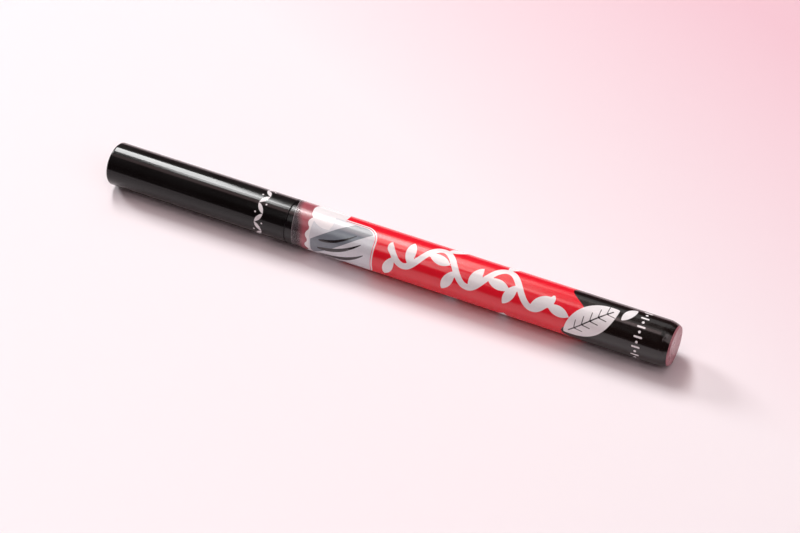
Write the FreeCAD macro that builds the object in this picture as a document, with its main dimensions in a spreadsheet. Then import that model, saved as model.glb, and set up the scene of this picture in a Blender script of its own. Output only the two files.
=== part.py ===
import FreeCAD, Part
import math
import os
import Sketcher
from FreeCAD import Placement, Rotation, Vector

# Liquid eyeliner pen, capped and lying on its side, in millimetres.
# +X runs from the cap's crown to the tail, +Z is up, and the origin is under the middle of the pen.
# Inside are a sprung inner cap, a brush tuft in its ferrule, a wick, a finned collector, the ink tank
# with its mixing ball, and a tail plug. A printed shrink film covers the barrel.

SIZES = {
    # Barrel and film
    "barrel_od": 10.1,
    "barrel_wall": 0.9,
    "barrel_length": 84.1,
    "barrel_lead": 0.25,           # chamfer at each end of the barrel's bore
    "film_thickness": 0.05,
    "film_setback": 0.1,           # from the collar's front face to the foremost point of the film
    "film_skew": 9.7,              # degrees by which the film's front cut is off square
    "film_skew_turn": 90.0,        # degrees from straight up to the side that reaches foremost
    "film_tail_stop": 0.4,         # bare rim between the film's end and the tail face
    # Tail plug
    "tail_head_length": 2.8,
    "tail_drop": 0.72,             # radius lost along the rounded tail shoulder
    "tail_rim_radius": 0.2,
    "plug_spigot_length": 7.0,
    "plug_rib_height": 0.15,
    "plug_rib_width": 0.7,
    "plug_rib_pitch": 2.0,
    "plug_wall": 1.0,
    "plug_web": 1.4,               # thickness of the tail face
    # Cap
    "cap_wall": 0.95,
    "cap_crown": 1.3,              # thickness of the closed end
    "crown_radius": 0.6,
    "cap_lead": 0.3,               # chamfer inside the mouth
    "cap_lip_radius": 0.15,
    "cap_step": 0.25,              # by which the bore narrows behind the neck
    "cap_step_room": 0.6,          # from the front section's shoulder to that step
    "retainer_height": 0.3,
    "retainer_width": 0.8,
    "snap_groove_depth": 0.12,
    "snap_groove_room": 0.3,       # groove's extra width on each side of the ridge
    "post_length": 1.3,            # spring posts on the crown and on the inner cap
    "post_clearance": 0.15,
    # Front section
    "mouth_gap": 0.1,
    "collar_length": 4.35,
    "neck_length": 8.45,
    "neck_clearance": 0.1,
    "snap_ridge_height": 0.06,
    "snap_ridge_width": 0.8,
    "snap_setback": 4.0,
    "shoulder_length": 2.0,
    "seat_width": 0.65,
    "nozzle_length": 14.0,
    "nozzle_tip_wall": 0.4,
    "nozzle_flare": 0.55,          # radius gained from the nozzle's tip to its base
    "nozzle_tip_radius": 0.15,
    "section_wall": 0.75,
    "section_front_wall": 1.5,
    "spigot_length": 14.1,
    # Brush tuft and ferrule
    "brush_d": 1.4,
    "brush_exposed": 8.5,
    "brush_belly": 0.1,            # radius lost by the middle of the tuft
    "brush_point_d": 0.16,
    "brush_grip": 4.0,             # length held in the ferrule
    "bristle_rows": 9,
    "bristle_relief": 0.03,        # by which the fluted tuft is smaller than its round root
    "ferrule_wall": 0.25,
    "ferrule_length": 7.0,
    "ferrule_setback": 0.4,
    "ferrule_flange_width": 0.25,
    "ferrule_flange_length": 0.8,
    # Wick and collector
    "wick_fit": 0.05,              # between the wick and the ferrule's bore
    "wick_lead": 0.2,
    "wick_reach": 3.5,             # length that stands in the ink
    "wick_clearance": 0.02,
    "core_wall": 0.8,
    "fin_thickness": 0.5,
    "fin_pitch": 1.0,
    "fin_clearance": 0.05,
    "collector_room": 0.3,
    "tank_flange_length": 1.5,
    "boss_wall": 0.5,
    "boss_length": 2.0,
    "slit_width": 0.35,
    "air_channel_width": 1.2,
    # Inner cap and spring
    "inner_cap_clearance": 0.1,
    "inner_cap_wall": 0.5,
    "inner_cap_floor": 1.0,
    "seal_gap": 0.05,
    "brush_room": 1.4,
    "guide_length": 1.2,
    "guide_clearance": 0.08,
    "float_travel": 1.0,
    "float_stop": 0.1,
    "spring_od": 5.6,
    "spring_wire": 0.45,
    "spring_length": 9.8,          # with the cap on
    "spring_end_gap": 0.05,
    "spring_turns": 7,
    # Mixing ball
    "ball_d": 4.0,
    "ball_clearance": 0.05,
    "ball_room": 0.3,
}

doc = FreeCAD.newDocument("eyeliner_pen")
sheet = doc.addObject("Spreadsheet::Sheet", "dims")
for row, (name, number) in enumerate(SIZES.items(), 1):
    sheet.set(f"A{row}", str(number))
    sheet.setAlias(f"A{row}", name)
doc.recompute()

# Radii of the pieces that fit into each other, as expressions of the sheet's cells
BARREL_R = "(dims.barrel_od / 2)"
SHELL_R = f"({BARREL_R} + dims.film_thickness)"
BORE_R = f"({BARREL_R} - dims.barrel_wall)"
CAP_BORE_R = f"({SHELL_R} - dims.cap_wall)"
CAP_DEEP_R = f"({CAP_BORE_R} - dims.cap_step)"
RETAINER_R = f"({CAP_DEEP_R} - dims.retainer_height)"
GUIDE_R = f"({CAP_DEEP_R} - dims.guide_clearance)"
NECK_R = f"({CAP_BORE_R} - dims.neck_clearance)"
CHAMBER_R = f"({NECK_R} - dims.section_wall)"
FIN_R = f"({CHAMBER_R} - dims.fin_clearance)"
BRUSH_R = "(dims.brush_d / 2)"
FERRULE_R = f"({BRUSH_R} + dims.ferrule_wall)"
FERRULE_FLANGE_R = f"({FERRULE_R} + dims.ferrule_flange_width)"
NOZZLE_TIP_R = f"({FERRULE_R} + dims.nozzle_tip_wall)"
NOZZLE_BASE_R = f"({NOZZLE_TIP_R} + dims.nozzle_flare)"
SEAT_R = f"({NOZZLE_BASE_R} + dims.seat_width)"
INNER_BORE_R = f"({NOZZLE_BASE_R} + dims.inner_cap_clearance)"
INNER_CAP_R = f"({INNER_BORE_R} + dims.inner_cap_wall)"
WICK_R = f"({BRUSH_R} - dims.wick_fit)"
WICK_BORE_R = f"({WICK_R} + dims.wick_clearance)"
CORE_R = f"({WICK_BORE_R} + dims.core_wall)"
BOSS_R = f"({WICK_BORE_R} + dims.boss_wall)"
PLUG_SPIGOT_R = f"({BORE_R} - dims.plug_rib_height)"
PLUG_CORE_R = f"({PLUG_SPIGOT_R} - dims.plug_wall)"
TAIL_R = f"({BARREL_R} - dims.tail_drop)"
POST_R = "(dims.spring_od / 2 - dims.spring_wire - dims.post_clearance)"
BALL_R = "(dims.ball_d / 2)"
# The tail shoulder is an arc that leaves the barrel's side tangentially.
SHOULDER_ARC_R = "((dims.tail_head_length ^ 2 + dims.tail_drop ^ 2) / (2 * dims.tail_drop))"

# Stations along the pen, from the crown
INNER_CAP_LENGTH = ("(dims.inner_cap_floor + dims.brush_room + dims.brush_exposed + dims.nozzle_length"
                    " - dims.seal_gap)")
INNER_CAP_X = "(dims.cap_crown + dims.spring_length + 2 * dims.spring_end_gap)"
NOZZLE_X = f"({INNER_CAP_X} + {INNER_CAP_LENGTH} + dims.seal_gap - dims.nozzle_length)"
COLLAR_X = f"({NOZZLE_X} + dims.nozzle_length + dims.shoulder_length + dims.neck_length)"
CAP_LENGTH = f"({COLLAR_X} - dims.mouth_gap)"
BARREL_X = f"({COLLAR_X} + dims.collar_length)"
TAIL_X = f"({BARREL_X} + dims.barrel_length)"
OVERALL = f"({TAIL_X} + dims.tail_head_length)"
FERRULE_X = f"({NOZZLE_X} + dims.ferrule_setback)"
WICK_X = f"({FERRULE_X} + dims.brush_grip)"
COLLECTOR_X = (f"({COLLAR_X} - dims.neck_length + dims.section_front_wall"
               " + dims.collector_room)")
COLLECTOR_LENGTH = f"({BARREL_X} + dims.spigot_length - {COLLECTOR_X})"
TANK_X = f"({BARREL_X} + dims.spigot_length + dims.tank_flange_length)"
WICK_LENGTH = f"({TANK_X} + dims.boss_length + dims.wick_reach - {WICK_X})"
PLUG_X = f"({TAIL_X} - dims.plug_spigot_length)"

SAME_PLACE = 1e-5


def value(expression):
    """Present value of an expression of the sheet's cells."""
    return float(sheet.evalExpression(expression))


def origin_feature(body, role):
    return next(item for item in body.Origin.OriginFeatures if item.Role == role)


def new_body(label, x):
    """Empty body whose own X axis is the pen's axis, with its start at station x from the crown."""
    body = doc.addObject("PartDesign::Body", label)
    body.Label = label
    body.setExpression("Placement.Base.x", f"{x} - {OVERALL} / 2")
    body.setExpression("Placement.Base.z", SHELL_R)
    return body


def new_sketch(body, name, role):
    sketch = body.newObject("Sketcher::SketchObject", name)
    sketch.AttachmentSupport = (origin_feature(body, role), [""])
    sketch.MapMode = "FlatFace"
    return sketch


def pin(sketch, kind, axis, geometry, point, expression):
    """Hold one coordinate of a corner at the value of an expression.

    In a constraint an edge's start is point 1 and its end point 2. Geometry -1 is the sketch's
    horizontal axis, whose point 1 is the origin, and -2 is its vertical axis.
    """
    if expression == "0":
        sketch.addConstraint(Sketcher.Constraint("PointOnObject", geometry, point, axis))
        return
    constraint = Sketcher.Constraint(kind, -1, 1, geometry, point, value(expression))
    index = sketch.addConstraint(constraint)
    sketch.setExpression(f"Constraints[{index}]", expression)


def bulged_arc(start, end, radius):
    """Arc from start to end whose centre is on the side of the sketch's origin."""
    middle = (start + end) / 2
    chord = end - start
    across = Vector(-chord.y, chord.x, 0).normalize()
    if across.dot(middle) > 0:
        across = -across
    centre = middle + across * math.sqrt(radius ** 2 - chord.Length ** 2 / 4)
    angles = [math.atan2((p - centre).y, (p - centre).x) for p in (start, end)]
    turns_left = (start - centre).cross(end - centre).z > 0
    if not turns_left:
        angles.reverse()
    circle = Part.Circle(centre, Vector(0, 0, 1), radius)
    ends = (1, 2) if turns_left else (2, 1)
    return Part.ArcOfCircle(circle, *angles), ends


def outline(body, name, corners, role="XZ_Plane"):
    """Closed sketch through corners, each a pair of expressions along and across the pen's axis.

    A third expression on a corner makes the edge that leaves it an arc of that radius.
    """
    sketch = new_sketch(body, name, role)
    points = [Vector(value(c[0]), value(c[1]), 0) for c in corners]
    ends = []
    for corner, start, end in zip(corners, points, points[1:] + points[:1]):
        if len(corner) == 3:
            edge, order = bulged_arc(start, end, value(corner[2]))
        else:
            edge, order = Part.LineSegment(start, end), (1, 2)
        sketch.addGeometry(edge)
        ends.append(order)
    for i, (_, leaves) in enumerate(ends):
        after = (i + 1) % len(ends)
        sketch.addConstraint(Sketcher.Constraint("Coincident", i, leaves, after, ends[after][0]))
    for i, corner in enumerate(corners):
        pin(sketch, "DistanceX", -2, i, ends[i][0], corner[0])
        pin(sketch, "DistanceY", -1, i, ends[i][0], corner[1])
        if len(corner) == 3:
            index = sketch.addConstraint(Sketcher.Constraint("Radius", i, value(corner[2])))
            sketch.setExpression(f"Constraints[{index}]", corner[2])
    return sketch


def turned(body, name, corners, kind="Revolution"):
    """Revolution, or Groove, of an outline about the pen's axis."""
    sketch = outline(body, f"{name}_outline", corners)
    feature = body.newObject(f"PartDesign::{kind}", name)
    feature.Profile = sketch
    feature.ReferenceAxis = (sketch, ["H_Axis"])
    feature.Angle = 360
    doc.recompute()
    return feature


def slotted(body, name, corners, width=None):
    """Pocket of an outline beside the axis, to both sides of the sketch plane."""
    before = body.Tip.Shape.Volume
    pocket = body.newObject("PartDesign::Pocket", name)
    pocket.Profile = outline(body, f"{name}_outline", corners)
    pocket.Midplane = True
    if width is None:
        pocket.Type = "ThroughAll"
    else:
        pocket.setExpression("Length", width)
    doc.recompute()
    if pocket.Shape.Volume >= before:
        raise RuntimeError(f"{name} cuts nothing")
    return pocket


def in_rows(body, name, feature, count, pitch):
    """Copies of a feature along the pen's axis."""
    pattern = body.newObject("PartDesign::LinearPattern", name)
    pattern.Originals = [feature]
    pattern.Direction = (origin_feature(body, "X_Axis"), [""])
    pattern.Mode = "Spacing"
    pattern.setExpression("Occurrences", count)
    pattern.setExpression("Offset", pitch)
    body.Tip = pattern
    doc.recompute()
    return pattern


def rounded(body, name, x, radius_of_edge, radius):
    """Fillet on the round edge at x with the given radius."""
    base = body.Tip
    place, size = value(x), value(radius_of_edge)
    names = []
    for number, edge in enumerate(base.Shape.Edges, 1):
        curve = edge.Curve
        if not isinstance(curve, Part.Circle):
            continue
        if abs(curve.Center.x - place) < SAME_PLACE and abs(curve.Radius - size) < SAME_PLACE:
            names.append(f"Edge{number}")
    fillet = body.newObject("PartDesign::Fillet", name)
    fillet.Base = (base, names)
    fillet.setExpression("Radius", radius)
    doc.recompute()
    return fillet


def cap_shell():
    """Straight cap: crown with a spring post, retainer ring for the inner cap, neck bore, snap groove."""
    body = new_body("cap_shell", "0")
    post_end = "(dims.cap_crown + dims.post_length)"
    step = (f"({CAP_LENGTH} + dims.mouth_gap - dims.neck_length - dims.shoulder_length"
            " - dims.cap_step_room)")
    turned(body, "shell", [
        ("0", "0"),
        ("0", SHELL_R),
        (CAP_LENGTH, SHELL_R),
        (CAP_LENGTH, f"{CAP_BORE_R} + dims.cap_lead"),
        (f"{CAP_LENGTH} - dims.cap_lead", CAP_BORE_R),
        (step, CAP_BORE_R),
        (step, CAP_DEEP_R),
        ("dims.cap_crown", CAP_DEEP_R),
        ("dims.cap_crown", POST_R),
        (post_end, POST_R),
        (post_end, "0"),
    ])
    ring = f"({INNER_CAP_X} + dims.guide_length + dims.float_travel + dims.float_stop)"
    turned(body, "retainer", [
        (ring, f"{CAP_DEEP_R} + dims.cap_wall / 2"),
        (ring, RETAINER_R),
        (f"{ring} + dims.retainer_width / 2", RETAINER_R),
        (f"{ring} + dims.retainer_width", CAP_DEEP_R),
        (f"{ring} + dims.retainer_width", f"{CAP_DEEP_R} + dims.cap_wall / 2"),
    ])
    groove = f"({COLLAR_X} - dims.snap_setback)"
    half = "(dims.snap_ridge_width / 2 + dims.snap_groove_room)"
    turned(body, "snap_groove", [
        (f"{groove} - {half}", f"{CAP_BORE_R} - dims.neck_clearance"),
        (f"{groove} - {half}", CAP_BORE_R),
        (f"{groove} - dims.snap_ridge_width / 2", f"{CAP_BORE_R} + dims.snap_groove_depth"),
        (f"{groove} + dims.snap_ridge_width / 2", f"{CAP_BORE_R} + dims.snap_groove_depth"),
        (f"{groove} + {half}", CAP_BORE_R),
        (f"{groove} + {half}", f"{CAP_BORE_R} - dims.neck_clearance"),
    ], kind="Groove")
    rounded(body, "crown_edge", "0", SHELL_R, "dims.crown_radius")
    rounded(body, "lip_edge", CAP_LENGTH, SHELL_R, "dims.cap_lip_radius")
    return body


def inner_cap():
    """Soft thimble that seals over the nozzle, with a guide flange and a spring post behind it."""
    body = new_body("inner_cap", f"{INNER_CAP_X} - dims.post_length")
    mouth = f"(dims.post_length + {INNER_CAP_LENGTH})"
    guide_end = "(dims.post_length + dims.guide_length)"
    floor = "(dims.post_length + dims.inner_cap_floor)"
    turned(body, "thimble", [
        ("0", "0"),
        ("0", POST_R),
        ("dims.post_length", POST_R),
        ("dims.post_length", GUIDE_R),
        (guide_end, GUIDE_R),
        (guide_end, INNER_CAP_R),
        (mouth, INNER_CAP_R),
        (mouth, INNER_BORE_R),
        (floor, INNER_BORE_R),
        (floor, "0"),
    ])
    return body


def front_section():
    """Collar, neck with its snap ridge, shoulder, nozzle, and the spigot that goes into the barrel."""
    body = new_body("front_section", NOZZLE_X)
    shoulder = "(dims.nozzle_length + dims.shoulder_length)"
    collar = f"({shoulder} + dims.neck_length)"
    spigot = f"({collar} + dims.collar_length)"
    end = f"({spigot} + dims.spigot_length)"
    chamber = f"({shoulder} + dims.section_front_wall)"
    ferrule_step = "(dims.ferrule_setback + dims.ferrule_length - dims.ferrule_flange_length)"
    turned(body, "moulding", [
        ("0", FERRULE_R),
        ("0", NOZZLE_TIP_R),
        ("dims.nozzle_length", NOZZLE_BASE_R),
        ("dims.nozzle_length", SEAT_R),
        (shoulder, NECK_R),
        (collar, NECK_R),
        (collar, BARREL_R),
        (spigot, BARREL_R),
        (spigot, BORE_R),
        (end, BORE_R),
        (end, CHAMBER_R),
        (chamber, CHAMBER_R),
        (chamber, FERRULE_FLANGE_R),
        (ferrule_step, FERRULE_FLANGE_R),
        (ferrule_step, FERRULE_R),
    ])
    ridge = f"({collar} - dims.snap_setback)"
    foot = f"{NECK_R} - dims.section_wall / 2"
    turned(body, "snap_ridge", [
        (f"{ridge} - dims.snap_ridge_width / 2", foot),
        (f"{ridge} - dims.snap_ridge_width / 2", NECK_R),
        (f"{ridge} - dims.snap_ridge_width / 4", f"{NECK_R} + dims.snap_ridge_height"),
        (f"{ridge} + dims.snap_ridge_width / 4", f"{NECK_R} + dims.snap_ridge_height"),
        (f"{ridge} + dims.snap_ridge_width / 2", NECK_R),
        (f"{ridge} + dims.snap_ridge_width / 2", foot),
    ])
    rounded(body, "nozzle_edge", "0", NOZZLE_TIP_R, "dims.nozzle_tip_radius")
    return body


def brush_ferrule():
    """Flanged sleeve, pushed into the nozzle from behind, that grips the tuft."""
    body = new_body("brush_ferrule", FERRULE_X)
    flange = "(dims.ferrule_length - dims.ferrule_flange_length)"
    turned(body, "sleeve", [
        ("0", BRUSH_R),
        ("0", FERRULE_R),
        (flange, FERRULE_R),
        (flange, FERRULE_FLANGE_R),
        ("dims.ferrule_length", FERRULE_FLANGE_R),
        ("dims.ferrule_length", BRUSH_R),
    ])
    return body


def bristle_outline(body, name, x, radius):
    """Ring of bristle humps: arcs between valleys, in a plane square to the pen at x."""
    count = int(value("dims.bristle_rows"))
    half_turn = math.pi / count
    valley = math.cos(half_turn) ** 2
    half_chord = valley * math.sin(half_turn)
    rise = 1 - valley * math.cos(half_turn)
    hump = (half_chord ** 2 + rise ** 2) / (2 * rise)
    corners = []
    for i in range(count):
        angle = 360 * i / count
        along = f"{radius} * {valley} * cos({angle} deg)"
        across = f"{radius} * {valley} * sin({angle} deg)"
        corners.append((along, across, f"{radius} * {hump}"))
    sketch = outline(body, name, corners, role="YZ_Plane")
    sketch.setExpression("AttachmentOffset.Base.z", x)
    return sketch


def brush_tip():
    """Pointed tuft: a fluted loft from the nozzle to the point, with a round root in the ferrule."""
    body = new_body("brush_tip", f"{NOZZLE_X} - dims.brush_exposed")
    ferrule = "(dims.brush_exposed + dims.ferrule_setback)"
    turned(body, "root", [
        (ferrule, "0"),
        (ferrule, BRUSH_R),
        (f"{ferrule} + dims.brush_grip", BRUSH_R),
        (f"{ferrule} + dims.brush_grip", "0"),
    ])
    tuft = body.newObject("PartDesign::AdditiveLoft", "tuft")
    tuft.Profile = bristle_outline(body, "tuft_root", ferrule, f"({BRUSH_R} - dims.bristle_relief)")
    tuft.Sections = [
        bristle_outline(body, "tuft_middle", "dims.brush_exposed / 2", f"({BRUSH_R} - dims.brush_belly)"),
        bristle_outline(body, "tuft_point", "0", "(dims.brush_point_d / 2)"),
    ]
    doc.recompute()
    return body


def feed_wick():
    """Fibre rod from the root of the tuft into the ink."""
    body = new_body("feed_wick", WICK_X)
    turned(body, "rod", [
        ("0", "0"),
        ("0", f"{WICK_R} - dims.wick_lead"),
        ("dims.wick_lead", WICK_R),
        (f"{WICK_LENGTH} - dims.wick_lead", WICK_R),
        (WICK_LENGTH, f"{WICK_R} - dims.wick_lead"),
        (WICK_LENGTH, "0"),
    ])
    return body


def collector():
    """Comb of thin fins on a tubular core, with a capillary slit above, an air channel below and the
    flange that closes the tank."""
    body = new_body("collector", COLLECTOR_X)
    flange_end = f"({COLLECTOR_LENGTH} + dims.tank_flange_length)"
    boss_end = f"({flange_end} + dims.boss_length)"
    turned(body, "core", [
        ("0", WICK_BORE_R),
        ("0", CORE_R),
        (COLLECTOR_LENGTH, CORE_R),
        (COLLECTOR_LENGTH, BORE_R),
        (flange_end, BORE_R),
        (flange_end, BOSS_R),
        (boss_end, BOSS_R),
        (boss_end, WICK_BORE_R),
    ])
    foot = f"{CORE_R} - dims.core_wall / 2"
    fin = turned(body, "fin", [
        ("0", foot),
        ("0", FIN_R),
        ("dims.fin_thickness", FIN_R),
        ("dims.fin_thickness", foot),
    ])
    in_rows(body, "fins", fin, f"floor({COLLECTOR_LENGTH} / dims.fin_pitch)", "dims.fin_pitch")
    slotted(body, "capillary_slit", [
        ("0", "0"),
        ("0", CHAMBER_R),
        (flange_end, CHAMBER_R),
        (flange_end, "0"),
    ], "dims.slit_width")
    slotted(body, "air_channel", [
        ("0", f"-{CORE_R}"),
        ("0", f"-{CHAMBER_R}"),
        (COLLECTOR_LENGTH, f"-{CHAMBER_R}"),
        (COLLECTOR_LENGTH, f"-{CORE_R}"),
    ], "dims.air_channel_width")
    return body


def barrel_tube():
    """Plain tube that is the ink tank behind the collector."""
    body = new_body("barrel_tube", BARREL_X)
    turned(body, "tube", [
        ("0", f"{BORE_R} + dims.barrel_lead"),
        ("0", BARREL_R),
        ("dims.barrel_length", BARREL_R),
        ("dims.barrel_length", f"{BORE_R} + dims.barrel_lead"),
        ("dims.barrel_length - dims.barrel_lead", BORE_R),
        ("dims.barrel_lead", BORE_R),
    ])
    return body


def tail_plug():
    """Ribbed spigot in the barrel, and a head with a rounded shoulder and a flat face."""
    body = new_body("tail_plug", PLUG_X)
    face = "(dims.plug_spigot_length + dims.tail_head_length)"
    turned(body, "plug", [
        ("0", PLUG_CORE_R),
        ("0", PLUG_SPIGOT_R),
        ("dims.plug_spigot_length", PLUG_SPIGOT_R),
        ("dims.plug_spigot_length", BARREL_R, SHOULDER_ARC_R),
        (face, TAIL_R),
        (face, "0"),
        (f"{face} - dims.plug_web", "0"),
        (f"{face} - dims.plug_web", PLUG_CORE_R),
    ])
    foot = f"{PLUG_SPIGOT_R} - dims.plug_wall / 2"
    rib = turned(body, "rib", [
        ("dims.plug_rib_width", foot),
        ("dims.plug_rib_width", PLUG_SPIGOT_R),
        ("1.5 * dims.plug_rib_width", BORE_R),
        ("2 * dims.plug_rib_width", PLUG_SPIGOT_R),
        ("2 * dims.plug_rib_width", foot),
    ])
    in_rows(body, "ribs", rib, "floor(dims.plug_spigot_length / dims.plug_rib_pitch)",
            "dims.plug_rib_pitch")
    rounded(body, "rim", face, TAIL_R, "dims.tail_rim_radius")
    return body


def shrink_sleeve():
    """Film over the collar's rear, the barrel and the tail shoulder, with its front cut off square."""
    body = new_body("shrink_sleeve", f"{COLLAR_X} + dims.film_setback")
    body.setExpression("Placement.Rotation.Axis.x", "1")
    body.setExpression("Placement.Rotation.Axis.z", "0")
    body.setExpression("Placement.Rotation.Angle", "-dims.film_skew_turn")
    straight = "(dims.collar_length - dims.film_setback + dims.barrel_length)"
    on_head = "(dims.tail_head_length - dims.film_tail_stop)"
    end = f"({straight} + {on_head})"
    arc_centre = f"({BARREL_R} - {SHOULDER_ARC_R})"
    outer_arc = f"({SHOULDER_ARC_R} + dims.film_thickness)"
    turned(body, "film", [
        ("0", BARREL_R),
        ("0", SHELL_R),
        (straight, SHELL_R, outer_arc),
        (end, f"{arc_centre} + sqrt({outer_arc} ^ 2 - {on_head} ^ 2)"),
        (end, f"{arc_centre} + sqrt({SHOULDER_ARC_R} ^ 2 - {on_head} ^ 2)", SHOULDER_ARC_R),
        (straight, BARREL_R),
    ])
    reach = "dims.barrel_od"
    slope = "tan(dims.film_skew * 1 deg)"
    slotted(body, "front_cut", [
        (f"({SHELL_R} - {reach}) * {slope}", reach),
        (f"({SHELL_R} + {reach}) * {slope}", f"-{reach}"),
        (f"-{reach}", f"-{reach}"),
        (f"-{reach}", reach),
    ])
    return body


def mixing_ball():
    """Loose steel ball at the tail end of the tank, on the bottom of the bore."""
    ball = doc.addObject("Part::Sphere", "mixing_ball")
    ball.Label = "mixing_ball"
    ball.setExpression("Radius", BALL_R)
    rest = f"{PLUG_X} - {BALL_R} - dims.ball_room"
    ball.setExpression("Placement.Base.x", f"{rest} - {OVERALL} / 2")
    ball.setExpression("Placement.Base.z", f"{SHELL_R} - {BORE_R} + {BALL_R} + dims.ball_clearance")
    doc.recompute()
    return ball


def arc_under(first, corner, last):
    """Arc from first to last whose end tangents meet at corner."""
    middle = (first + last) / 2
    rise = corner - middle
    half = (last - first).Length / 2
    sagitta = half * math.tan(math.atan2(rise.Length, half) / 2)
    return Part.Arc(first, middle + rise.normalize() * sagitta, last).toShape()


def tangent_arcs(start, start_way, end, end_way):
    """Two arcs that meet tangentially, from start along start_way to end along end_way."""
    span = end - start
    spread = 2 * (1 - start_way.dot(end_way))
    lean = span.dot(start_way + end_way)
    reach = (math.sqrt(lean ** 2 + spread * span.dot(span)) - lean) / spread
    before = start + start_way * reach
    after = end - end_way * reach
    joint = (before + after) / 2
    return [arc_under(start, before, joint), arc_under(joint, after, end)]


def least_gap(path, wire, turn_length):
    """Least clear distance of a wire to itself, on points along its path over half a turn apart."""
    step = wire / 2
    points = path.discretize(Distance=step)
    apart = math.ceil(turn_length / 2 / step)
    pairs = ((p, q) for i, p in enumerate(points) for q in points[i + apart:])
    return min(p.distanceToPoint(q) for p, q in pairs) - wire


def inner_cap_spring():
    """Compression spring between the crown and the inner cap, one round wire in steady turns.

    Each end runs straight for one wire diameter. Every quarter turn is a pair of tangent arcs.
    """
    wire = value("dims.spring_wire")
    coil_r = (value("dims.spring_od") - wire) / 2
    turns = int(value("dims.spring_turns"))
    turn_length = 2 * math.pi * coil_r
    pitch = (value("dims.spring_length") - wire) / (turns + 2 * wire / turn_length)
    climb = pitch / (2 * math.pi)
    first_centre = wire / 2 + wire * pitch / turn_length

    def point(angle):
        return Vector(first_centre + climb * angle, coil_r * math.cos(angle), coil_r * math.sin(angle))

    def way(angle):
        return Vector(climb, -coil_r * math.sin(angle), coil_r * math.cos(angle)).normalize()

    angles = [math.pi / 2 * quarter for quarter in range(4 * turns + 1)]
    start = point(0) - way(0) * wire
    end = point(angles[-1]) + way(angles[-1]) * wire
    edges = [Part.LineSegment(start, point(0)).toShape()]
    for here, there in zip(angles, angles[1:]):
        edges += tangent_arcs(point(here), way(here), point(there), way(there))
    edges.append(Part.LineSegment(point(angles[-1]), end).toShape())
    path = Part.Wire(edges)
    section = Part.Wire([Part.Circle(start, way(0), wire / 2).toShape()])
    print(f"spring: least gap to itself {least_gap(path, wire, turn_length):.2f} mm")
    spring = doc.addObject("Part::Feature", "inner_cap_spring")
    spring.Label = "inner_cap_spring"
    spring.Shape = path.makePipeShell([section], True, False)
    station = value(f"dims.cap_crown + dims.spring_end_gap - {OVERALL} / 2")
    spring.Placement = Placement(Vector(station, 0, value(SHELL_R)), Rotation())
    return spring


PIECES = [
    cap_shell(),
    inner_cap(),
    inner_cap_spring(),
    front_section(),
    brush_ferrule(),
    brush_tip(),
    feed_wick(),
    collector(),
    barrel_tube(),
    tail_plug(),
    shrink_sleeve(),
    mixing_ball(),
]

doc.recompute()
for item in doc.Objects:
    if {"Invalid", "Error"} & set(item.State):
        raise RuntimeError(f"{item.Label}: {item.State}")
for piece in PIECES:
    if piece.Shape.isNull() or not piece.Shape.isValid() or len(piece.Shape.Solids) != 1:
        raise RuntimeError(f"{piece.Label}: no valid single solid")
os.makedirs("parts", exist_ok=True)
for piece in PIECES:
    piece.Shape.exportStep(f"parts/{piece.Label}.step")
    box = piece.Shape.BoundBox
    print(piece.Label, f"x {box.XMin:.2f} to {box.XMax:.2f}, z {box.ZMin:.2f} to {box.ZMax:.2f}",
          f"volume {piece.Shape.Volume:.2f}")
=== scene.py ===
# %% [markdown]
# # Dressing a liquid eyeliner pen
# The pen's solids come from CAD and are already at their real size. This lesson gives them the looks of
# the photographed pen: a polished black cap, a barrel in printed shrink film and a dusky rose tail.
# Under the cap are a nozzle and a brush, so those are dressed as well.
# Everything is worked out in millimetres and put into the meshes in metres.

# %% Load the frame
import math

import bpy
import numpy as np
from mathutils import Matrix, Vector


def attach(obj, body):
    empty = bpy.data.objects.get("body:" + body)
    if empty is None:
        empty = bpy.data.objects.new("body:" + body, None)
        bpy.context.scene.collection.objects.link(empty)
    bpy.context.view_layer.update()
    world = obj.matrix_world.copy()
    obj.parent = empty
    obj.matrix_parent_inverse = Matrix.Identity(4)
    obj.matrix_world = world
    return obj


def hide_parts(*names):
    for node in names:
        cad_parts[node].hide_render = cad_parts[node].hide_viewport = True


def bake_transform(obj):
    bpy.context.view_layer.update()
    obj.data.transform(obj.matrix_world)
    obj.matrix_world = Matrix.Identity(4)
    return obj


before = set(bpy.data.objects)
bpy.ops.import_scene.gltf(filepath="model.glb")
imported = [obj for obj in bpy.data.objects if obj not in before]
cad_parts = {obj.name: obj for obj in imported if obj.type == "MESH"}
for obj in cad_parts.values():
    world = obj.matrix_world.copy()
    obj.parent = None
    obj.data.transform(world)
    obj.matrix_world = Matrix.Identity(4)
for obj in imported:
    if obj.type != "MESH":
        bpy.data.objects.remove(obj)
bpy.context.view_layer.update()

print("CAD nodes:", sorted(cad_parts))

# %% [markdown]
# ## Where things are
# A pen is a stack of round pieces on one axis, so two numbers place almost anything: the distance from
# the crown of the cap, here called the station, and the radius. The sizes repeat those of the CAD model.

# %% Sizes of the pen, in millimetres
MM = 0.001
OVERALL = 137.8
AXIS_HEIGHT = 5.1
SHELL_R = 5.1
BARREL_R = 5.05
BORE_R = 4.15
CAP_MOUTH = 46.45
COLLAR = 46.55
SNAP = COLLAR - 4.0
BARREL_START = 50.9
BARREL_END = 135.0
NOZZLE_TIP = 22.1
SEGMENTS = 224

print("pen:", OVERALL, "mm long,", 2 * SHELL_R, "mm across")

# %% [markdown]
# ## Turning a profile
# Lathe-turned and moulded round pieces are surfaces of revolution. Blender has a Screw modifier and a
# Spin tool for that. Working the grid out with numpy keeps full control of where the rows lie, and the
# same function then also serves for the film, whose front edge isn't square to the axis.

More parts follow.
